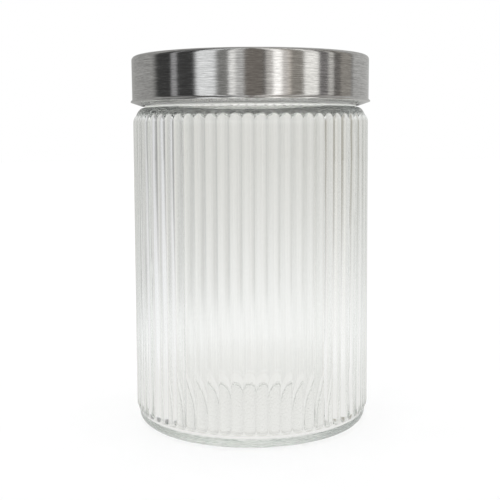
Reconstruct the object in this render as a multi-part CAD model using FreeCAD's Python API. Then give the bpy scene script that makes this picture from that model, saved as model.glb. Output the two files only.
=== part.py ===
"""Ribbed glass storage jar with a brushed stainless steel lid.

Three solids share one vertical axis: the jar, the steel lid shell and the plastic liner inside it.
Millimetres, +Z up, origin at the centre of the circle that the jar stands on.
Every section is a closed outline of (radius, height) corners, rounded and turned about Z.
"""

import FreeCAD, Part
import math
import os

# Jar body, measured over the rib crests
body_diameter = 105.0
wall = 3.2              # smooth wall between two ribs
shoulder_height = 140.6  # top of the shoulder, where the neck starts
shoulder_run = 2.6      # the shoulder slopes in by this much
shoulder_drop = 2.3     # and down by this much, before it is rounded
shoulder_radius = 6.0   # rounding where the body turns into the slope
shoulder_edge = 2.0     # rounding where the slope turns level
heel_radius = 5.0
base_thickness = 3.8    # at the foot of the inside wall
inside_corner = 2.5

# Ribs: half-round rods with domed ends, side by side round the body
rib_count = 64
rib_depth = 1.1
rib_strip = 0.24        # plain glass left between two ribs
rib_top_gap = 3.5       # from the upper tips to the top of the shoulder
rib_foot_gap = 1.2      # from the heel's rounding to the lower tips

# Underside: a bearing ring round a shallow push-up
push_up = 1.0
ring_width = 3.6
ring_step = 0.9

# Neck and mouth
neck_inset = 6.7        # from the rib crests in to the neck
neck_wall = 3.5
neck_fillet = 0.4
rim_rounding = 0.9
shoulder_slope = 8.0    # degrees off level, of the inside of the shoulder
inside_shoulder = 2.0   # rounding where the wall turns into the shoulder
inside_neck = 3.4       # rounding where the shoulder turns into the neck

# Steel lid: one drawn shell whose bottom edge flares out, then turns in under itself as a hem
lid_sheet = 0.5
lid_gap = 0.75          # between the shoulder and the lid's bottom edge
lid_height = 21.85
lid_proud = 0.4         # how far the skirt's top stands out past the rib crests
lid_draft = 0.15        # the skirt's radius is this much less at the hem
lid_corner = 1.7
flare_reach = 1.05      # how far the edge stands out from the skirt
flare_height = 2.8      # where the skirt starts to flare, above the lid's bottom
flare_crease = 0.8
hem_rise = 1.75         # height of the widest line above the hem's inner edge
hem_reach = 4.05        # how far the hem reaches in under the skirt
hem_inside_rise = 1.9   # height of the inside corner, where the hem meets the skirt
hem_fold = 0.35         # rounding at the widest line
hem_corner = 0.5
hem_edge = 0.2

# Plastic liner: a disc that seals on the rim, and a sleeve round the neck
liner_disc = 1.8
liner_edge_gap = 0.3
liner_edge_round = 1.6
sleeve_wall = 1.3
sleeve_gap = 0.3
sleeve_clearance = 0.3  # between the sleeve's foot and the shoulder
sleeve_rounding = 0.4

# Worked out from the sizes above
crest_radius = body_diameter / 2
core_radius = crest_radius - rib_depth
inner_radius = core_radius - wall
rib_top = shoulder_height - rib_top_gap
rib_bottom = heel_radius + rib_foot_gap
neck_radius = crest_radius - neck_inset
mouth_radius = neck_radius - neck_wall
lid_bottom = shoulder_height + lid_gap
lid_top = lid_bottom + lid_height
lid_under = lid_top - lid_sheet
rim_height = lid_under - liner_disc
sleeve_inner = neck_radius + sleeve_gap
skirt_top = crest_radius + lid_proud
skirt_foot = skirt_top - lid_draft

PARTS = "parts"


def rounded_wire(corners):
    """A closed wire through (radius, height, rounding) corners, each turned by a tangent arc."""
    points = [FreeCAD.Vector(r, 0, z) for r, z, _ in corners]
    edges = []
    ends = []
    for i, (_, _, rounding) in enumerate(corners):
        here = points[i]
        to_last = (points[i - 1] - here).normalize()
        to_next = (points[(i + 1) % len(points)] - here).normalize()
        if rounding == 0:
            ends.append((here, here))
            continue
        half = to_last.getAngle(to_next) / 2
        cut = rounding / math.tan(half)
        start = here + to_last * cut
        end = here + to_next * cut
        middle_way = (to_last + to_next).normalize()
        middle = here + middle_way * (rounding / math.sin(half) - rounding)
        edges.append(Part.Arc(start, middle, end).toShape())
        ends.append((start, end))
    for i, (start, _) in enumerate(ends):
        last_end = ends[i - 1][1]
        if last_end.distanceToPoint(start) > 1e-6:
            edges.append(Part.LineSegment(last_end, start).toShape())
    return Part.Wire(Part.__sortEdges__(edges))


def turned(corners):
    """The solid of one full turn of a rounded section about Z."""
    face = Part.Face(rounded_wire(corners))
    return face.revolve(FreeCAD.Vector(0, 0, 0), FreeCAD.Vector(0, 0, 1), 360)


def jar_core():
    """The jar's smooth outside, filled in: heel, body, shoulder, neck, and the push-up below."""
    ring_outer = core_radius - heel_radius
    ring_inner = ring_outer - ring_width
    return turned(
        [
            (0, push_up, 0),
            (ring_inner - ring_step, ring_step, ring_step / 2),
            (ring_inner, 0, ring_step / 3),
            (core_radius, 0, heel_radius),
            (core_radius, shoulder_height - shoulder_drop, shoulder_radius),
            (core_radius - shoulder_run, shoulder_height, shoulder_edge),
            (neck_radius, shoulder_height, neck_fillet),
            (neck_radius, rim_height, rim_rounding),
            (0, rim_height, 0),
        ]
    )


def jar_cavity():
    """The space inside the jar, carried past the rim so that the mouth is open."""
    inside_rise = (inner_radius - mouth_radius) * math.tan(math.radians(shoulder_slope))
    under_shoulder = shoulder_height - wall - inside_rise
    past_rim = rim_height + 2 * rim_rounding
    body = turned(
        [
            (0, base_thickness, 0),
            (inner_radius, base_thickness, inside_corner),
            (inner_radius, under_shoulder, inside_shoulder),
            (mouth_radius, under_shoulder + inside_rise, inside_neck),
            (mouth_radius, past_rim, 0),
            (0, past_rim, 0),
        ]
    )
    # The rim's inner edge is rounded by a ring with a concave foot.
    mouth_edge = turned(
        [
            (mouth_radius - rim_rounding, rim_height - rim_rounding, 0),
            (mouth_radius, rim_height - rim_rounding, 0),
            (mouth_radius + rim_rounding, rim_height, 0),
            (mouth_radius + rim_rounding, past_rim, 0),
            (mouth_radius - rim_rounding, past_rim, 0),
        ]
    )
    return body.fuse(mouth_edge)


def rib():
    """One rib at angle 0: a rod with domed ends, whose outer side is the crest."""
    strip_half = rib_strip / 2
    chord_half = math.pi * core_radius / rib_count - strip_half
    rise = crest_radius - math.sqrt(core_radius**2 - chord_half**2)
    rod_radius = (chord_half**2 + rise**2) / (2 * rise)
    centre = crest_radius - rod_radius
    dome = math.sqrt(rod_radius**2 - (core_radius - centre) ** 2)
    low = rib_bottom + dome
    high = rib_top - dome
    at = FreeCAD.Vector(centre, 0, low)
    rod = Part.makeCylinder(rod_radius, high - low, at)
    foot = Part.makeSphere(rod_radius, at)
    head = Part.makeSphere(rod_radius, FreeCAD.Vector(centre, 0, high))
    return rod.multiFuse([foot, head]).removeSplitter()


def glass_jar():
    """The core with its ring of ribs, hollowed by the cavity."""
    one = rib()
    origin = FreeCAD.Vector(0, 0, 0)
    up = FreeCAD.Vector(0, 0, 1)
    ribs = []
    for i in range(rib_count):
        copy = one.copy()
        copy.rotate(origin, up, (i + 0.5) * 360 / rib_count)
        ribs.append(copy)
    return jar_core().multiFuse(ribs).cut(jar_cavity())


def lid():
    """The steel shell: flat top, rounded corner, nearly straight skirt, and the hem under it."""
    inside_corner_radius = lid_corner - lid_sheet
    hem_inner = skirt_foot - hem_reach
    return turned(
        [
            (0, lid_top, 0),
            (skirt_top, lid_top, lid_corner),
            (skirt_foot, lid_bottom + flare_height, flare_crease),
            (skirt_foot + flare_reach, lid_bottom + hem_rise, hem_fold),
            (hem_inner, lid_bottom, hem_edge),
            (hem_inner, lid_bottom + lid_sheet, hem_edge),
            (skirt_foot - lid_sheet, lid_bottom + hem_inside_rise, hem_corner),
            (skirt_top - lid_sheet, lid_under, inside_corner_radius),
            (0, lid_under, 0),
        ]
    )


def lid_liner():
    """The plastic disc under the lid's top, with the sleeve that centres it on the neck."""
    edge = skirt_foot - lid_sheet - liner_edge_gap
    sleeve_outer = sleeve_inner + sleeve_wall
    foot = shoulder_height + sleeve_clearance
    return turned(
        [
            (0, lid_under, 0),
            (edge, lid_under, liner_edge_round),
            (edge, rim_height, 0),
            (sleeve_outer, rim_height, sleeve_rounding),
            (sleeve_outer, foot, sleeve_rounding),
            (sleeve_inner, foot, sleeve_rounding),
            (sleeve_inner, rim_height, 0),
            (0, rim_height, 0),
        ]
    )


def main():
    os.makedirs(PARTS, exist_ok=True)
    pieces = {"glass_jar": glass_jar(), "lid": lid(), "lid_liner": lid_liner()}
    for name, shape in pieces.items():
        shape.exportStep(os.path.join(PARTS, name + ".step"))
        print(name, "valid", shape.isValid(), "solids", len(shape.Solids),
              "cm3", round(shape.Volume / 1000, 2), "faces", len(shape.Faces))


main()
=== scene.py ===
# %% [markdown]
# # A ribbed glass storage jar with a brushed steel lid
# The jar stands on a table, empty and shut. It is three pieces: the pressed glass body, the drawn
# steel lid, and the white plastic liner that grips the neck inside the lid. All three are round, so
# each starts as an outline of radii and heights that is carried about the upright axis.

# %% Load the frame
import math

import bmesh
import bpy
from mathutils import Euler, Matrix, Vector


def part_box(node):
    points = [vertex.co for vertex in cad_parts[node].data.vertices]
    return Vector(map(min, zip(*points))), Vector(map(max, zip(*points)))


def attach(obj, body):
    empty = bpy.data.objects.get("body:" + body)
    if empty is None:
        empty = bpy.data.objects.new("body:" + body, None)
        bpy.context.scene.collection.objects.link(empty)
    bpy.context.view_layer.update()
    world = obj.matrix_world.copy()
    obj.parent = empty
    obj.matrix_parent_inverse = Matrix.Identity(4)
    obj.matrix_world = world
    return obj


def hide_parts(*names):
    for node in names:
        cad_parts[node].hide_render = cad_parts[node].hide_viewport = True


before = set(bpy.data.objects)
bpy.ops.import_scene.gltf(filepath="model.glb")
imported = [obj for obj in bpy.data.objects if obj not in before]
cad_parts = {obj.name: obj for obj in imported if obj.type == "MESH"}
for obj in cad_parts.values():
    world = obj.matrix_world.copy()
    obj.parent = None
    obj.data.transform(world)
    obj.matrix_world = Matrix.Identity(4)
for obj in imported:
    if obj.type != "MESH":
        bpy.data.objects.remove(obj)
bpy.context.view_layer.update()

scene = bpy.context.scene
print("frame nodes:", sorted(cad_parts))

# %% [markdown]
# ## Sizes
# What the construction fixes is read from the frame, so the looks always fit it: the heights of the
# rim, the lid and the liner. The rest are the maker's own sizes, written once in metres. Everything
# further down is worked out from these.

# %% Sizes of the glass
MM = 0.001
rim_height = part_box("glass_jar")[1].z
crest_radius = 52.5 * MM
rib_depth = 1.1 * MM
core_radius = crest_radius - rib_depth
wall = 3.2 * MM
inner_radius = core_radius - wall
base_thickness = 3.8 * MM
push_up = 1.0 * MM
heel_radius = 5.0 * MM
shoulder_height = 140.6 * MM
neck_radius = crest_radius - 6.7 * MM
mouth_radius = neck_radius - 3.5 * MM
print("glass: rim at %.1f mm, mouth %.1f mm across" % (rim_height / MM, 2 * mouth_radius / MM))

# %% Sizes of the ribs
rib_count = 64
rib_pitch = 2 * math.pi / rib_count
rib_half_width = crest_radius * rib_pitch / 2
rib_crown = 4.3 * MM
top_runout = 4.3 * MM
foot_runout = 4.3 * MM
rib_top = shoulder_height - 3.5 * MM
rib_bottom = heel_radius + 1.2 * MM
print("%d ribs, each %.2f mm wide" % (rib_count, 2 * rib_half_width / MM))

# %% Sizes of the lid and its liner
lid_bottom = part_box("lid")[0].z
lid_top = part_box("lid")[1].z
liner_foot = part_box("lid_liner")[0].z
sheet = 0.5 * MM
skirt_top = crest_radius + 0.4 * MM
skirt_foot = skirt_top - 0.15 * MM
print("lid: %.1f mm high, %.1f mm across" % ((lid_top - lid_bottom) / MM, 2 * skirt_top / MM))

# %% [markdown]
# ## Outlines with rounded corners
# A mould drawing gives corners and the radius at each. Bevelling a finished mesh would round every
# edge alike, so the corners are rounded in the outline instead, where each can have its own radius.
# A short way before and after each arc sits one more point. It keeps the shading of the long
# straight stretch flat, as a holding edge does.

# %% Round the corners of an outline
HOLD = 0.15 * MM


def rounded_corners(corners, arc_step=9.0):
    """For each (radius, height, rounding) corner of a closed outline, the points that round it."""
    groups = []
    for i, (r, z, rounding) in enumerate(corners):
        if rounding == 0:
            groups.append([(r, z)])
            continue
        last, following = corners[i - 1], corners[(i + 1) % len(corners)]
        back = math.atan2(last[1] - z, last[0] - r)
        ahead = math.atan2(following[1] - z, following[0] - r)
        opening = (ahead - back + math.pi) % (2 * math.pi) - math.pi
        middle = back + opening / 2
        half = abs(opening) / 2
        away = rounding / math.sin(half)
        centre_r, centre_z = r + away * math.cos(middle), z + away * math.sin(middle)
        turn = math.copysign(math.pi - 2 * half, -opening)
        steps = max(2, math.ceil(abs(math.degrees(turn)) / arc_step))
        points = []
        for k in range(steps + 1):
            angle = middle + math.pi + turn * (k / steps - 0.5)
            points.append((centre_r + rounding * math.cos(angle), centre_z + rounding * math.sin(angle)))
        reach = rounding / math.tan(half) + HOLD
        if reach < math.dist(last[:2], (r, z)) * 0.9:
            points.insert(0, (r + reach * math.cos(back), z + reach * math.sin(back)))
        if reach < math.dist(following[:2], (r, z)) * 0.9:
            points.append((r + reach * math.cos(ahead), z + reach * math.sin(ahead)))
        groups.append(points)
    return groups


# %% Place a point at an angle about the axis
def about_axis(r, z, angle):
    """The point at radius r and height z, turned by the angle from the front towards +X."""
    return (r * math.sin(angle), -r * math.cos(angle), z)


def surface_report(piece):
    """Prints the faces and the volume; a volume above zero means that the faces point outwards."""
    work = bmesh.new()
    work.from_mesh(piece.data)
    open_edges = sum(1 for edge in work.edges if not edge.is_manifold)
    triangles = sum(len(face.verts) - 2 for face in work.faces)
    volume = work.calc_volume(signed=True)
    work.free()
    print("%s: %d triangles, %.1f cm3, %d open edges" % (piece.name, triangles, volume * 1e6, open_edges))


# %% [markdown]
# ## The glass body
# The real jar is pressed in a mould. Its inside is smooth, and its outside carries a ring of
# upright ribs, rounded at both ends. Sixty-four separate rods could be joined to a smooth body, but
# that leaves knife-sharp seams that glass never has. So one slice is made, exactly one rib wide,
# from the axis under the base, up the outside, over the rim and down the inside to the axis again.
# The slice is then repeated about the axis.

# %% Outline the smooth glass
ring_outer = core_radius - heel_radius
ring_inner = ring_outer - 3.6 * MM
ring_step = 0.9 * MM
inside_rise = (inner_radius - mouth_radius) * math.tan(math.radians(8))
under_shoulder = shoulder_height - wall - inside_rise
outside_corners = [
    (0, push_up, 0),
    (ring_inner - ring_step, ring_step, ring_step / 2),
    (ring_inner, 0, ring_step / 3),
    (core_radius, 0, heel_radius),
    (core_radius, shoulder_height - 2.3 * MM, 6.0 * MM),
    (core_radius - 2.6 * MM, shoulder_height, 2.0 * MM),
    (neck_radius, shoulder_height, 0.4 * MM),
    (neck_radius, rim_height, 0.9 * MM),
]
inside_corners = [
    (mouth_radius, rim_height, 0.9 * MM),
    (mouth_radius, under_shoulder + inside_rise, 3.4 * MM),
    (inner_radius, under_shoulder, 2.0 * MM),
    (inner_radius, base_thickness, 2.5 * MM),
    (0, base_thickness, 0),
]
groups = rounded_corners(outside_corners + inside_corners)
outside = [point for group in groups[: len(outside_corners)] for point in group]
inside = [point for group in groups[len(outside_corners) :] for point in group]
print("outline: %d points outside, %d inside" % (len(outside), len(inside)))


# %% Raise the ribs over the smooth wall
def smooth_wall(z):
    """The radius of the outside of the smooth glass at a height on its wall."""
    for (r0, z0), (r1, z1) in zip(outside, outside[1:]):
        if z0 < z <= z1 and r0 > inner_radius:
            return r0 + (r1 - r0) * (z - z0) / (z1 - z0)
    return core_radius


def sagitta(radius, reach):
    """How far an arc has fallen away at a distance from its top."""
    return radius - math.sqrt(radius**2 - reach**2)


def crown_fall(across):
    """How far a rib has fallen from its crest, at a distance across it; steeper near the valley."""
    gentle = across**2 / (2 * rib_crown)
    steep = rib_depth - rib_half_width**2 / (2 * rib_crown)
    return gentle + steep * (across / rib_half_width) ** 4


def end_reach(runout, across):
    """How far past its straight length a rib runs out into the wall, at a distance across it."""
    height = max(rib_depth - crown_fall(across), 0)
    return math.sqrt(runout**2 - (runout - height) ** 2)


low_end = rib_bottom + end_reach(foot_runout, 0)
high_end = rib_top - end_reach(top_runout, 0)


def rib_radius(z, across):
    """The outer radius at a height, at a distance across from the middle line of a rib."""
    rib = crest_radius - crown_fall(across)
    if z < low_end:
        rib -= sagitta(foot_runout, min(low_end - z, foot_runout))
    if z > high_end:
        rib -= sagitta(top_runout, min(z - high_end, top_runout))
    return max(rib, smooth_wall(z))


# %% Lay rows of points along a slice
FINE, COARSE = 12, 4
DOME_ROWS = 6


def angles_across(count, even):
    """Angles over one slice; uneven ones crowd towards the valleys between the ribs."""
    shares = [2 * k / count - 1 for k in range(count + 1)]
    if not even:
        shares = [math.sin(math.pi / 2 * share) for share in shares]
    return [rib_pitch / 2 * (1 + share) for share in shares]


def end_rows(runout, across):
    """Distances past a rib's straight length, row by row, over its rounded end and just beyond."""
    edge = [end_reach(runout, x) for x in across]
    shares = [math.sin(math.pi / 2 * k / DOME_ROWS) for k in range(DOME_ROWS + 1)]
    rows = [[share * reach for reach in edge] for share in shares]
    rows.append([reach + HOLD for reach in edge])
    rows.append([reach * 0.6 + edge[FINE // 2] * 0.4 + 2 * HOLD for reach in edge])
    return rows


def rib_rows():
    """Rows of points over the ribbed wall, bent so that they follow the rounded ends."""
    angles = angles_across(FINE, even=False)
    across = [crest_radius * (angle - rib_pitch / 2) for angle in angles]
    heights = [[low_end - rise for rise in row] for row in reversed(end_rows(foot_runout, across))]
    heights += [[low_end + HOLD] * len(angles), [high_end - HOLD] * len(angles)]
    heights += [[high_end + rise for rise in row] for row in end_rows(top_runout, across)]
    rows = []
    for row in heights:
        rows.append([about_axis(rib_radius(z, x), z, a) for z, x, a in zip(row, across, angles)])
    return rows


def plain_row(r, z, count):
    """A row of points across the slice on smooth glass, or the one point on the axis."""
    if r == 0:
        return [(0, 0, z)]
    return [about_axis(r, z, angle) for angle in angles_across(count, even=count == COARSE)]


# %% Make the slice
def range_share(length, spans, k, start):
    """The numbers of a row's points from the k-th span's start to its end."""
    if length == 1:
        return [start]
    each = (length - 1) // spans
    return list(range(start + k * each, start + (k + 1) * each + 1))


def glass_slice(name):
    """A strip of glass surface one rib wide, open at its two cut sides."""
    middle = ring_inner / 2
    under_middle = push_up + (ring_step - push_up) * middle / (ring_inner - ring_step)
    rows = [plain_row(0, push_up, COARSE), plain_row(middle, under_middle, COARSE)]
    low, high = rib_bottom - 3 * HOLD, rib_top + 3 * HOLD
    lower = [p for p in outside[1:] if p[1] <= low and p[0] > ring_inner - 2 * ring_step]
    upper = [p for p in outside if p[1] >= high]
    rows += [plain_row(r, z, FINE) for r, z in lower] + rib_rows()
    rows += [plain_row(r, z, FINE) for r, z in upper]
    rows += [plain_row(r, z, COARSE) for r, z in inside]
    points = [point for row in rows for point in row]
    faces = []
    start = 0
    for row, after in zip(rows, rows[1:]):
        following = start + len(row)
        spans = min(len(row), len(after)) - 1 or max(len(row), len(after)) - 1
        for k in range(spans):
            near = range_share(len(row), spans, k, start)
            far = range_share(len(after), spans, k, following)
            faces.append(near + far[::-1])
        start = following
    mesh = bpy.data.meshes.new(name)
    mesh.from_pydata(points, [], faces)
    piece = bpy.data.objects.new(name, mesh)
    scene.collection.objects.link(piece)
    print("slice: %d rows, %d faces" % (len(rows), len(faces)))
    return piece


one_slice = glass_slice("one_slice")

# %% [markdown]
# Geometry Nodes repeat the slice. A line of points lies on one spot of the axis, each point carries
# a copy of the slice, and each copy is turned by its number times the pitch. The copies are made
# real and the points on the cut sides are merged, which leaves one closed piece of glass.


# %% Build the tree that repeats a slice about the axis
def slices_tree():
    """Copies of a slice turned about Z, merged into one piece with a material."""
    tree = bpy.data.node_groups.new("slices_about_axis", "GeometryNodeTree")
    face = tree.interface
    face.new_socket("Geometry", in_out="INPUT", socket_type="NodeSocketGeometry")
    face.new_socket("Slices", in_out="INPUT", socket_type="NodeSocketInt")
    face.new_socket("Merge Distance", in_out="INPUT", socket_type="NodeSocketFloat")
    face.new_socket("Material", in_out="INPUT", socket_type="NodeSocketMaterial")
    face.new_socket("Geometry", in_out="OUTPUT", socket_type="NodeSocketGeometry")
    nodes, links = tree.nodes, tree.links
    given = nodes.new("NodeGroupInput")
    spots = nodes.new("GeometryNodeMeshLine")
    spots.inputs["Offset"].default_value = (0, 0, 0)
    index = nodes.new("GeometryNodeInputIndex")
    pitch = nodes.new("ShaderNodeMath")
    pitch.operation = "DIVIDE"
    pitch.inputs[0].default_value = 2 * math.pi
    turn = nodes.new("ShaderNodeMath")
    turn.operation = "MULTIPLY"
    upright = nodes.new("ShaderNodeCombineXYZ")
    place = nodes.new("GeometryNodeInstanceOnPoints")
    real = nodes.new("GeometryNodeRealizeInstances")
    merge = nodes.new("GeometryNodeMergeByDistance")
    smooth = nodes.new("GeometryNodeSetShadeSmooth")
    finish = nodes.new("GeometryNodeSetMaterial")
    out = nodes.new("NodeGroupOutput")
    links.new(given.outputs["Slices"], spots.inputs["Count"])
    links.new(given.outputs["Slices"], pitch.inputs[1])
    links.new(index.outputs["Index"], turn.inputs[0])
    links.new(pitch.outputs["Value"], turn.inputs[1])
    links.new(turn.outputs["Value"], upright.inputs["Z"])
    links.new(spots.outputs["Mesh"], place.inputs["Points"])
    links.new(given.outputs["Geometry"], place.inputs["Instance"])
    links.new(upright.outputs["Vector"], place.inputs["Rotation"])
    links.new(place.outputs["Instances"], real.inputs["Geometry"])
    links.new(real.outputs["Geometry"], merge.inputs["Geometry"])
    links.new(given.outputs["Merge Distance"], merge.inputs["Distance"])
    links.new(merge.outputs["Geometry"], smooth.inputs["Geometry"])
    links.new(smooth.outputs["Geometry"], finish.inputs["Geometry"])
    links.new(given.outputs["Material"], finish.inputs["Material"])
    links.new(finish.outputs["Geometry"], out.inputs["Geometry"])
    return tree


def socket_id(tree, name):
    """The identifier of a tree's named input, which is what a modifier goes by."""
    for item in tree.interface.items_tree:
        if item.item_type == "SOCKET" and item.in_out == "INPUT" and item.name == name:
            return item.identifier
    raise KeyError(name)


def made_plain(piece, name):
    """The piece's evaluated shape as a plain mesh object; the piece and its modifier go."""
    depsgraph = bpy.context.evaluated_depsgraph_get()
    mesh = bpy.data.meshes.new_from_object(piece.evaluated_get(depsgraph))
    mesh.name = name
    made = bpy.data.objects.new(name, mesh)
    scene.collection.objects.link(made)
    bpy.data.objects.remove(piece, do_unlink=True)
    return made


# %% [markdown]
# ## Clear pressed glass
# The jar is clear soda-lime glass. It bends light strongly, and where it is thick, at the heel and
# the shoulder, it shows a faint grey-green. A pressed surface is glossy but never flat: the mould
# leaves slow waves, drawn out upwards. A Principled shader with full transmission does the bending,
# a Volume Absorption gives the thick glass its colour, and a bump gives the waves. The waves are a
# node group, because the plastic and the table are uneven in the same way.


# %% Start a material
def new_material(name):
    """A material with its tree and the Principled shader in it."""
    material = bpy.data.materials.new(name)
    material.use_nodes = True
    tree = material.node_tree
    return material, tree, tree.nodes["Principled BSDF"]


def group_node(tree, group, **inputs):
    """A node group placed in a tree; each input is a number or a socket."""
    node = tree.nodes.new("ShaderNodeGroup")
    node.node_tree = group
    for name, value in inputs.items():
        if isinstance(value, (int, float)):
            node.inputs[name].default_value = value
        else:
            tree.links.new(value, node.inputs[name])
    return node


# %% Slow waves, as a group
def waves_group():
    """Soft unevenness from 0 to 1, for a height or a tone; a higher fineness gives smaller waves."""
    group = bpy.data.node_groups.new("slow_waves", "ShaderNodeTree")
    face = group.interface
    face.new_socket("Place", in_out="INPUT", socket_type="NodeSocketVector")
    face.new_socket("Fineness", in_out="INPUT", socket_type="NodeSocketFloat")
    face.new_socket("Waves", in_out="OUTPUT", socket_type="NodeSocketFloat")
    given = group.nodes.new("NodeGroupInput")
    out = group.nodes.new("NodeGroupOutput")
    noise = group.nodes.new("ShaderNodeTexNoise")
    noise.inputs["Detail"].default_value = 2
    group.links.new(given.outputs["Place"], noise.inputs["Vector"])
    group.links.new(given.outputs["Fineness"], noise.inputs["Scale"])
    group.links.new(noise.outputs["Fac"], out.inputs["Waves"])
    return group


slow_waves = waves_group()


def stretched_place(tree, upwards):
    """Object coordinates, with every pattern on them drawn out upwards."""
    coords = tree.nodes.new("ShaderNodeTexCoord")
    stretch = tree.nodes.new("ShaderNodeMapping")
    stretch.inputs["Scale"].default_value = (1, 1, 1 / upwards)
    tree.links.new(coords.outputs["Object"], stretch.inputs["Vector"])
    return stretch.outputs["Vector"]


def add_relief(tree, shader, height, depth):
    """Bumps a shader's surface by a height from 0 to 1, times a depth in metres."""
    relief = tree.nodes.new("ShaderNodeBump")
    relief.inputs["Strength"].default_value = 1.0
    relief.inputs["Distance"].default_value = depth
    tree.links.new(height, relief.inputs["Height"])
    tree.links.new(relief.outputs["Normal"], shader.inputs["Normal"])


# %% Clear glass
wave_fineness = 200
wave_depth = 0.1 * MM
clear_glass, tree, shader = new_material("clear_glass")
shader.inputs["Base Color"].default_value = (0.992, 0.996, 0.99, 1)
shader.inputs["Roughness"].default_value = 0.0
shader.inputs["IOR"].default_value = 1.5
shader.inputs["Transmission Weight"].default_value = 1.0
waves = group_node(tree, slow_waves, Place=stretched_place(tree, 10), Fineness=wave_fineness)
add_relief(tree, shader, waves.outputs["Waves"], wave_depth)
soak = tree.nodes.new("ShaderNodeVolumeAbsorption")
soak.inputs["Color"].default_value = (0.52, 0.72, 0.64, 1)
soak.inputs["Density"].default_value = 1.6
tree.links.new(soak.outputs["Volume"], tree.nodes["Material Output"].inputs["Volume"])
print("glass: waves about %.0f mm wide, %.1f mm deep" % (1 / wave_fineness / MM, wave_depth / MM))

# %% [markdown]
# ## Repeating the slice
# The slice object gets the tree as a modifier. Its inputs are set by the sockets' identifiers before
# Blender first works the modifier out. The result is copied to a plain mesh, so nothing live is left
# on the finished jar.

# %% Repeat the slice into the jar
repeat_tree = slices_tree()
repeat = one_slice.modifiers.new("repeat", "NODES")
repeat.node_group = repeat_tree
repeat[socket_id(repeat_tree, "Slices")] = rib_count
repeat[socket_id(repeat_tree, "Merge Distance")] = 0.003 * MM
repeat[socket_id(repeat_tree, "Material")] = clear_glass
jar_glass = made_plain(one_slice, "jar_glass")
surface_report(jar_glass)
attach(jar_glass, "root")
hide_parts("glass_jar")

# %% [markdown]
# ## The steel lid
# The real lid is one sheet of stainless steel, drawn into a shallow cap. At the bottom its skirt
# flares out a little and turns in under itself, which makes a stiff hem. It could be a cylinder with
# a Solidify modifier, but then the hem's fold would have no true section. So the whole sheet, outside
# and inside, is one outline that is spun about the axis. The spin also lays a UV map along the
# outline, which the brushing follows later.


# %% Spin an outline into a mesh
def turned_piece(name, groups, around=256):
    """A closed mesh of one full turn, with a UV map of turn and length along the outline."""
    outline = [point for group in groups for point in group]
    mesh = bpy.data.meshes.new(name)
    work = bmesh.new()
    uv = work.loops.layers.uv.new("turned")
    angles = [2 * math.pi * k / around for k in range(around)]
    rings = []
    for r, z in outline:
        if r == 0:
            rings.append([work.verts.new((0, 0, z))] * around)
        else:
            rings.append([work.verts.new(about_axis(r, z, angle)) for angle in angles])
    lengths = [0.0]
    for here, there in zip(outline, outline[1:] + outline[:1]):
        lengths.append(lengths[-1] + math.dist(here, there))
    for i, ring in enumerate(rings):
        after = rings[(i + 1) % len(rings)]
        if ring[0] is ring[1] and after[0] is after[1]:
            continue
        for k in range(around):
            m = (k + 1) % around
            corners = [ring[k], ring[m], after[m], after[k]]
            turns = [k, k + 1, k + 1, k]
            along = [lengths[i], lengths[i], lengths[i + 1], lengths[i + 1]]
            kept = [j for j in range(4) if corners[j] is not corners[j - 1]]
            face = work.faces.new([corners[j] for j in kept])
            face.smooth = True
            for loop, j in zip(face.loops, kept):
                loop[uv].uv = (turns[j] / around, along[j] / 0.1)
    bmesh.ops.recalc_face_normals(work, faces=work.faces)
    work.to_mesh(mesh)
    work.free()
    mesh.set_sharp_from_angle(angle=math.radians(35))
    piece = bpy.data.objects.new(name, mesh)
    scene.collection.objects.link(piece)
    surface_report(piece)
    return piece


# %% Steel sheet
hem_fold = lid_bottom + 1.75 * MM
hem_inner = skirt_foot - 4.05 * MM
steel_lid = turned_piece(
    "steel_lid",
    rounded_corners(
        [
            (0, lid_top, 0),
            (skirt_top, lid_top, 1.7 * MM),
            (skirt_foot, lid_bottom + 2.8 * MM, 0.8 * MM),
            (skirt_foot + 1.048 * MM, hem_fold, 0.35 * MM),
            (hem_inner, lid_bottom, 0.2 * MM),
            (hem_inner, lid_bottom + sheet, 0.2 * MM),
            (skirt_foot - sheet, lid_bottom + 1.9 * MM, 0.5 * MM),
            (skirt_top - sheet, lid_top - sheet, 1.2 * MM),
            (0, lid_top - sheet, 0),
        ]
    ),
)

# %% [markdown]
# ## Brushed steel
# The skirt was brushed on a lathe, so its scratches run round it, side by side. Round the lid such a
# finish smears each reflection up and down, which turns the studio's lights into upright stripes.
# The Anisotropic setting does that with a tangent that follows the UV map. The scratches themselves
# are noise in two layers, long ones and short ones, drawn out round the lid. They change the steel's
# tone, its roughness and its relief. The hem has none of them in its tone or relief; its colour is
# painted shade, darker towards its inner edge, in place of the dark glass that it reflects there.


# %% Numbers and colours inside a tree
def math_node(tree, operation, first, second=None):
    """A Math node; each input is a number or a socket."""
    node = tree.nodes.new("ShaderNodeMath")
    node.operation = operation
    for socket, value in zip(node.inputs, (first, second)):
        if isinstance(value, (int, float)):
            socket.default_value = value
        elif value is not None:
            tree.links.new(value, socket)
    return node.outputs["Value"]


def soft_step(tree, value, start, end, low, high):
    """A smooth change from low to high as the value goes from start to end."""
    node = tree.nodes.new("ShaderNodeMapRange")
    node.interpolation_type = "SMOOTHSTEP"
    tree.links.new(value, node.inputs["Value"])
    for name, number in zip(("From Min", "From Max", "To Min", "To Max"), (start, end, low, high)):
        node.inputs[name].default_value = number
    return node.outputs["Result"]


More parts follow.
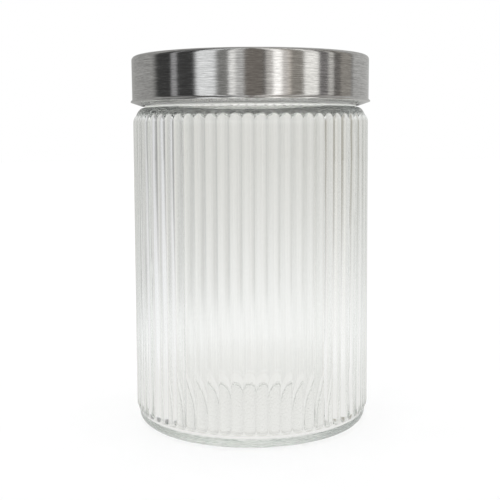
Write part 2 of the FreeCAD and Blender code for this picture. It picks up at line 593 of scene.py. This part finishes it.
def colour_mix(tree, share, first, second, way="MIX"):
    """A mix of two colours by a share; each colour is three numbers or a socket."""
    node = tree.nodes.new("ShaderNodeMix")
    node.data_type = "RGBA"
    node.blend_type = way
    if isinstance(share, (int, float)):
        node.inputs[0].default_value = share
    else:
        tree.links.new(share, node.inputs[0])
    for socket, value in zip((node.inputs[6], node.inputs[7]), (first, second)):
        if isinstance(value, tuple):
            socket.default_value = (*value, 1)
        else:
            tree.links.new(value, socket)
    return node.outputs[2]


# %% Fine lines round a turned piece, as a group
def turning_lines_group():
    """Lines from 0 to 1 that run round a turned piece: longer as Length falls, finer with Fineness."""
    group = bpy.data.node_groups.new("turning_lines", "ShaderNodeTree")
    face = group.interface
    face.new_socket("UV", in_out="INPUT", socket_type="NodeSocketVector")
    face.new_socket("Length", in_out="INPUT", socket_type="NodeSocketFloat")
    face.new_socket("Fineness", in_out="INPUT", socket_type="NodeSocketFloat")
    face.new_socket("Lines", in_out="OUTPUT", socket_type="NodeSocketFloat")
    given = group.nodes.new("NodeGroupInput")
    out = group.nodes.new("NodeGroupOutput")
    parts = group.nodes.new("ShaderNodeSeparateXYZ")
    group.links.new(given.outputs["UV"], parts.inputs[0])
    angle = math_node(group, "MULTIPLY", parts.outputs["X"], 2 * math.pi)
    x = math_node(group, "MULTIPLY", math_node(group, "COSINE", angle), given.outputs["Length"])
    y = math_node(group, "MULTIPLY", math_node(group, "SINE", angle), given.outputs["Length"])
    z = math_node(group, "MULTIPLY", parts.outputs["Y"], given.outputs["Fineness"])
    vector = group.nodes.new("ShaderNodeCombineXYZ")
    for name, value in zip("XYZ", (x, y, z)):
        group.links.new(value, vector.inputs[name])
    noise = group.nodes.new("ShaderNodeTexNoise")
    noise.inputs["Scale"].default_value = 1.0
    noise.inputs["Detail"].default_value = 3.0
    noise.inputs["Roughness"].default_value = 0.7
    group.links.new(vector.outputs["Vector"], noise.inputs["Vector"])
    group.links.new(soft_step(group, noise.outputs["Fac"], 0.3, 0.7, 0.0, 1.0), out.inputs["Lines"])
    return group


turning_lines = turning_lines_group()


def turned_uv(tree):
    """The UV map that turned_piece lays on its meshes."""
    node = tree.nodes.new("ShaderNodeUVMap")
    node.uv_map = "turned"
    return node.outputs["UV"]


def object_height(tree):
    """The height above the table of each spot of a surface, in metres."""
    coords = tree.nodes.new("ShaderNodeTexCoord")
    parts = tree.nodes.new("ShaderNodeSeparateXYZ")
    tree.links.new(coords.outputs["Object"], parts.inputs[0])
    return parts.outputs["Z"]


# %% Brushed steel
brushed_steel, tree, shader = new_material("brushed_steel")
shader.inputs["Metallic"].default_value = 1.0
shader.inputs["Anisotropic"].default_value = 0.93
shader.inputs["Anisotropic Rotation"].default_value = 0.25
tangent = tree.nodes.new("ShaderNodeTangent")
tangent.direction_type = "UV_MAP"
tangent.uv_map = "turned"
tree.links.new(tangent.outputs["Tangent"], shader.inputs["Tangent"])
long_lines = group_node(tree, turning_lines, UV=turned_uv(tree), Length=4, Fineness=520)
short_lines = group_node(tree, turning_lines, UV=turned_uv(tree), Length=14, Fineness=420)
line_sum = math_node(tree, "ADD", long_lines.outputs["Lines"], short_lines.outputs["Lines"])
lines = math_node(tree, "MULTIPLY", line_sum, 0.5)
steel_height = object_height(tree)
skirt = soft_step(tree, steel_height, hem_fold, hem_fold + 0.5 * MM, 0.0, 1.0)
brushed = colour_mix(tree, lines, (0.37, 0.365, 0.36), (0.84, 0.835, 0.825))
# Painted shade: the hem's colour darkens towards its inner edge, in place of the dark glass it reflects
# there.
hem_shade_share = soft_step(tree, steel_height, lid_bottom + 0.2 * MM, hem_fold, 0.0, 1.0)
hem_painted_shade = colour_mix(tree, hem_shade_share, (0.28, 0.28, 0.275), (0.74, 0.735, 0.72))
tree.links.new(colour_mix(tree, skirt, hem_painted_shade, brushed), shader.inputs["Base Color"])
tree.links.new(soft_step(tree, lines, 0.0, 1.0, 0.11, 0.2), shader.inputs["Roughness"])
add_relief(tree, shader, math_node(tree, "MULTIPLY", lines, skirt), 0.003 * MM)
steel_lid.data.materials.append(brushed_steel)
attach(steel_lid, "root")
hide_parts("lid")
print("steel: brushed above %.1f mm" % (hem_fold / MM))

# %% [markdown]
# ## The white liner
# Under the lid sits a moulded plastic disc with a sleeve that holds the lid centred on the neck. Only
# a thin white ring of it shows, between the hem and the glass, and more of it through the shoulder.
# It is spun like the lid. Moulded plastic isn't one flat white either: the mould was turned, so
# faint rings run round it, and the colour clouds a little. The same two groups give both.

# %% Plastic liner
disc_edge = skirt_foot - sheet - 0.3 * MM
sleeve_inner = neck_radius + 0.3 * MM
sleeve_outer = sleeve_inner + 1.3 * MM
white_liner = turned_piece(
    "white_liner",
    rounded_corners(
        [
            (0, lid_top - sheet, 0),
            (disc_edge, lid_top - sheet, 1.6 * MM),
            (disc_edge, rim_height, 0),
            (sleeve_outer, rim_height, 0.4 * MM),
            (sleeve_outer, liner_foot, 0.4 * MM),
            (sleeve_inner, liner_foot, 0.4 * MM),
            (sleeve_inner, rim_height, 0),
            (0, rim_height, 0),
        ]
    ),
)

# %% White plastic
white_plastic, tree, shader = new_material("white_plastic")
rings = group_node(tree, turning_lines, UV=turned_uv(tree), Length=2, Fineness=120)
clouds = group_node(tree, slow_waves, Place=stretched_place(tree, 1), Fineness=90)
white = colour_mix(tree, clouds.outputs["Waves"], (0.85, 0.85, 0.815), (0.91, 0.91, 0.885))
tree.links.new(white, shader.inputs["Base Color"])
tree.links.new(soft_step(tree, rings.outputs["Lines"], 0.0, 1.0, 0.4, 0.52), shader.inputs["Roughness"])
add_relief(tree, shader, rings.outputs["Lines"], 0.01 * MM)
white_liner.data.materials.append(white_plastic)
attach(white_liner, "root")
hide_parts("lid_liner")
print("liner: %.1f mm across, sleeve %.1f mm" % (2 * disc_edge / MM, 2 * sleeve_outer / MM))

# %% [markdown]
# ## What the glass looks out on
# Clear glass has no colour of its own: every line in it is the room behind it, bent. On a white table
# with white all round, a ribbed jar would all but vanish. Photographers stand grey boards to both
# sides, out of view, so that each rib's flanks pick up a darker line. Here one node group holds that
# surround: a painted shadow on the table close round the jar, white a little farther off, pale grey
# straight behind, greyer to the sides, with a few upright boards. Only rays that have passed through
# the glass see it, both in the world and on the far table.


# %% Bearing of a place
def bearing_of(tree, place):
    """The angle of a place about the upright axis, from the camera's side towards +X."""
    parts = tree.nodes.new("ShaderNodeSeparateXYZ")
    tree.links.new(place, parts.inputs[0])
    towards = math_node(tree, "MULTIPLY", parts.outputs["Y"], -1.0)
    return math_node(tree, "ARCTAN2", parts.outputs["X"], towards)


def within(tree, bearing, centre, half, soft, strength=1.0):
    """A share that is full within so many degrees of a bearing, with a soft edge."""
    off = math_node(tree, "SUBTRACT", bearing, math.radians(centre))
    inner, outer = math.radians(half - soft / 2), math.radians(half + soft / 2)
    return soft_step(tree, math_node(tree, "ABSOLUTE", off), inner, outer, strength, 0.0)


# %% Surround, as a group
boards = [
    ("dark board left", -118, 5, 4, 0.5, (0.2, 0.2, 0.2)),
    ("pale board left", -105, 6, 4, 0.8, (0.8, 0.8, 0.82)),
    ("dark board right", 112, 5, 4, 0.6, (0.24, 0.22, 0.16)),
    ("pale board right", 98, 6, 4, 0.7, (0.8, 0.79, 0.74)),
]


def surround_group():
    """The colour of the room at a place, which is at a distance from the jar."""
    group = bpy.data.node_groups.new("surround", "ShaderNodeTree")
    face = group.interface
    face.new_socket("Place", in_out="INPUT", socket_type="NodeSocketVector")
    face.new_socket("Distance", in_out="INPUT", socket_type="NodeSocketFloat")
    face.new_socket("Colour", in_out="OUTPUT", socket_type="NodeSocketColor")
    given = group.nodes.new("NodeGroupInput")
    out = group.nodes.new("NodeGroupOutput")
    distance = given.outputs["Distance"]
    bearing = bearing_of(group, given.outputs["Place"])
    behind = math_node(group, "SUBTRACT", math.pi, math_node(group, "ABSOLUTE", bearing))
    rightwards = soft_step(group, bearing, -0.5, 0.5, 0.0, 1.0)
    off_middle = math_node(group, "SUBTRACT", behind, math_node(group, "MULTIPLY", rightwards, 0.14))
    aside = soft_step(group, off_middle, math.radians(4), math.radians(40), 0.0, 1.0)
    grey = colour_mix(group, rightwards, (0.50, 0.50, 0.495), (0.62, 0.615, 0.59))
    far = colour_mix(group, aside, (0.80, 0.79, 0.765), grey)
    for name, centre, half, soft, strength, colour in boards:
        far = colour_mix(group, within(group, bearing, centre, half, soft, strength), far, colour)
    # Behind on the left the white ends sooner and more sharply than elsewhere.
    back_left = within(group, bearing, -154, 17, 6)
    halfway = math_node(group, "SUBTRACT", 0.5, math_node(group, "MULTIPLY", back_left, 0.21))
    edge = math_node(group, "ADD", 1.5, math_node(group, "MULTIPLY", back_left, 4.5))
    fall = math_node(group, "POWER", math_node(group, "DIVIDE", distance, halfway), edge)
    share = math_node(group, "DIVIDE", fall, math_node(group, "ADD", fall, 1.0))
    # Painted shadow: within about 0.1 m of the jar the table is greyer, a contact shadow seen through the
    # glass; it is white from 0.2 m out.
    past_painted_shadow = soft_step(group, distance, 0.09, 0.2, 0.0, 1.0)
    near = colour_mix(group, past_painted_shadow, (0.87, 0.865, 0.85), (0.995, 0.995, 0.995))
    group.links.new(colour_mix(group, share, near, far), out.inputs["Colour"])
    return group


surround = surround_group()
print("surround: %d boards" % len(boards))

# %% [markdown]
# ## The studio
# The lid is a curved mirror, so what stands round it shows as stripes: a window on the left, a key
# light, a light on the right, and dark gaps between them. Real lamps could do it, but each would
# also wash over the brushed steel and throw a hard shadow under the glass. So the lights are boards
# painted in the world by bearing, seen by reflected rays. Rays through the glass see the surround,
# and soft even light reaches the rest. Light that a surface gathers through the glass is set apart,
# which keeps the liner from looking dull through the shoulder.


# %% Shaders inside a tree
def background(tree, colour):
    """A world Background of a colour, which is three numbers or a socket."""
    node = tree.nodes.new("ShaderNodeBackground")
    if isinstance(colour, tuple):
        node.inputs["Color"].default_value = (*colour, 1)
    else:
        tree.links.new(colour, node.inputs["Color"])
    return node.outputs[0]


def emission(tree, colour):
    """A surface that glows with a colour, which is three numbers or a socket."""
    node = tree.nodes.new("ShaderNodeEmission")
    if isinstance(colour, tuple):
        node.inputs["Color"].default_value = (*colour, 1)
    else:
        tree.links.new(colour, node.inputs["Color"])
    return node.outputs[0]


def mix_shaders(tree, share, first, second):
    """A mix of two shaders by a share."""
    node = tree.nodes.new("ShaderNodeMixShader")
    tree.links.new(share, node.inputs[0])
    tree.links.new(first, node.inputs[1])
    tree.links.new(second, node.inputs[2])
    return node.outputs[0]


# %% World
world = bpy.data.worlds.new("studio")
scene.world = world
world.use_nodes = True
world.cycles.sampling_method = "NONE"
tree = world.node_tree
tree.nodes.clear()
coords = tree.nodes.new("ShaderNodeTexCoord")
bearing = bearing_of(tree, coords.outputs["Generated"])
rays = tree.nodes.new("ShaderNodeLightPath")

# %% Lights that the steel mirrors
lights = [
    ("wall left", -145, 41, 12, (0.36, 0.36, 0.35)),
    ("wall right", 147, 36, 8, (0.48, 0.48, 0.47)),
    ("left edge", -78, 3.5, 3, (0.34, 0.34, 0.35)),
    ("left window", -44, 10, 6, (0.97, 0.99, 1.0)),
    ("left card", -28.5, 5.5, 3, (0.21, 0.21, 0.20)),
    ("left bounce", -15, 7.5, 3, (0.58, 0.58, 0.57)),
    ("left lamp", -18.5, 3, 3, (0.50, 0.50, 0.49)),
    ("camera side", 1.5, 9, 3, (0.16, 0.14, 0.12)),
    ("key edge", 16, 3.5, 3, (0.62, 0.60, 0.57)),
    ("key light", 23.5, 4, 3, (1.50, 1.48, 1.45)),
    ("key fall", 30.5, 3.5, 4, (0.72, 0.69, 0.66)),
    ("warm strip", 35, 1.5, 2, (0.30, 0.27, 0.24)),
    ("warm card", 41.5, 7.5, 4, (0.28, 0.26, 0.23)),
    ("right light", 57.5, 8, 4, (1.15, 1.14, 1.10)),
    ("right gap", 71.5, 5, 4, (0.18, 0.17, 0.17)),
    ("right edge", 80, 3.5, 2.5, (0.62, 0.61, 0.58)),
    ("dark gap", 88, 4, 3, (0.13, 0.12, 0.11)),
    ("brown card", 101, 8.5, 4, (0.31, 0.29, 0.26)),
]
studio_colour = (0.055, 0.055, 0.055)
for name, centre, half, soft, colour in lights:
    board = within(tree, bearing, centre, half, soft)
    studio_colour = colour_mix(tree, board, studio_colour, colour, "ADD")
print("studio: %d lights and boards" % len(lights))

# %% Which rays see what in the world
open_light, glass_light = (1.3, 1.3, 1.3), (2.6, 2.6, 2.6)
gathered = math_node(tree, "GREATER_THAN", rays.outputs["Diffuse Depth"], 0.5)
through_glass = math_node(tree, "GREATER_THAN", rays.outputs["Transmission Depth"], 0.5)
view = group_node(tree, surround, Place=coords.outputs["Generated"], Distance=1000.0)
mirrored = background(tree, studio_colour)
lit = mix_shaders(tree, rays.outputs["Is Glossy Ray"], background(tree, open_light), mirrored)
seen_through = background(tree, view.outputs["Colour"])
lit = mix_shaders(tree, rays.outputs["Is Transmission Ray"], lit, seen_through)
bounced = mix_shaders(tree, through_glass, background(tree, open_light), background(tree, glass_light))
lit = mix_shaders(tree, gathered, lit, bounced)
lit = mix_shaders(tree, rays.outputs["Is Camera Ray"], lit, background(tree, (1.0, 1.0, 1.0)))
out = tree.nodes.new("ShaderNodeOutputWorld")
tree.links.new(lit, out.inputs["Surface"])

# %% [markdown]
# ## The table
# The jar stands on a plain white table that runs on into the white behind it. A part of its light is
# its own glow, so it stays white to the horizon, and a part is plain diffuse, so the jar can shade it
# a little. Its paint is faintly uneven. Seen through the glass it shows the surround instead, and
# in the lid it shows white close by and then the studio.

# %% Table top
half_table = 4.0
level = -0.2 * MM
signs = ((-1, -1), (1, -1), (1, 1), (-1, 1))
table_corners = [(x * half_table, y * half_table, level) for x, y in signs]
table_mesh = bpy.data.meshes.new("table_top")
table_mesh.from_pydata(table_corners, [], [(0, 1, 2, 3)])
table_top = bpy.data.objects.new("table_top", table_mesh)
scene.collection.objects.link(table_top)

# %% White paint
table_white = bpy.data.materials.new("table_white")
table_white.use_nodes = True
tree = table_white.node_tree
tree.nodes.clear()
rays = tree.nodes.new("ShaderNodeLightPath")
place = tree.nodes.new("ShaderNodeNewGeometry")
length = tree.nodes.new("ShaderNodeVectorMath")
length.operation = "LENGTH"
tree.links.new(place.outputs["Position"], length.inputs[0])
distance = length.outputs["Value"]
grain = group_node(tree, slow_waves, Place=stretched_place(tree, 1), Fineness=40)
diffuse = tree.nodes.new("ShaderNodeBsdfDiffuse")
paint = colour_mix(tree, grain.outputs["Waves"], (0.292, 0.292, 0.291), (0.308, 0.308, 0.308))
tree.links.new(paint, diffuse.inputs["Color"])
plain = tree.nodes.new("ShaderNodeAddShader")
tree.links.new(diffuse.outputs[0], plain.inputs[0])
tree.links.new(emission(tree, (0.64, 0.64, 0.64)), plain.inputs[1])

# %% Which rays see what of the table
gathered = math_node(tree, "GREATER_THAN", rays.outputs["Diffuse Depth"], 0.5)
through_glass = math_node(tree, "GREATER_THAN", rays.outputs["Transmission Depth"], 0.5)
view = group_node(tree, surround, Place=place.outputs["Position"], Distance=distance)
clear = tree.nodes.new("ShaderNodeBsdfTransparent")
farther = soft_step(tree, distance, 0.08, 0.2, 0.0, 1.0)
mirrored = mix_shaders(tree, farther, emission(tree, (0.7, 0.7, 0.7)), clear.outputs[0])
seen = mix_shaders(tree, rays.outputs["Is Glossy Ray"], plain.outputs[0], mirrored)
seen_through = emission(tree, view.outputs["Colour"])
seen = mix_shaders(tree, rays.outputs["Is Transmission Ray"], seen, seen_through)
bounced = mix_shaders(tree, through_glass, emission(tree, open_light), emission(tree, glass_light))
seen = mix_shaders(tree, gathered, seen, bounced)
seen = mix_shaders(tree, rays.outputs["Is Camera Ray"], seen, plain.outputs[0])
out = tree.nodes.new("ShaderNodeOutputMaterial")
tree.links.new(seen, out.inputs["Surface"])
table_mesh.materials.append(table_white)
print("table: %.0f m across" % (2 * half_table))

# %% [markdown]
# ## The camera
# A jar is best seen from a little under its lid's height, so that its sides stay nearly upright and
# the round foot still shows. The camera stands just left of the middle and looks slightly down. A
# small upward slide of the sensor frames the jar, which turns its sides less than more tilt would.

# %% Camera
lens = bpy.data.cameras.new("studio_camera")
lens.sensor_width = 36.0
lens.lens = 67.5
lens.shift_x = -0.002
lens.shift_y = -0.08
camera = bpy.data.objects.new("studio_camera", lens)
camera_away = 0.4245
camera_height = 0.1288
tilt = 0.0805
roll = -0.0054
side = math.radians(-1.79)
aim = Euler((math.pi / 2 - tilt, 0, side)).to_matrix() @ Matrix.Rotation(roll, 3, "Z")
camera.matrix_world = Matrix.Translation(about_axis(camera_away, camera_height, side)) @ aim.to_4x4()
scene.collection.objects.link(camera)
scene.camera = camera
print("camera: %.0f mm away, %.0f mm high" % (camera_away / MM, camera_height / MM))

# %% [markdown]
# ## Light through thick glass
# A ray that enters a ribbed wall may bounce inside it dozens of times before it leaves. Each bounce
# off the inside counts as glossy, so both limits are set high. With the usual few, the rays that run
# out turn into black dashes along the ribs.

# %% Bounces and tones
scene.view_settings.view_transform = "Standard"
scene.cycles.max_bounces = 64
scene.cycles.transmission_bounces = 40
scene.cycles.glossy_bounces = 40
scene.cycles.diffuse_bounces = 3
scene.cycles.transparent_max_bounces = 16
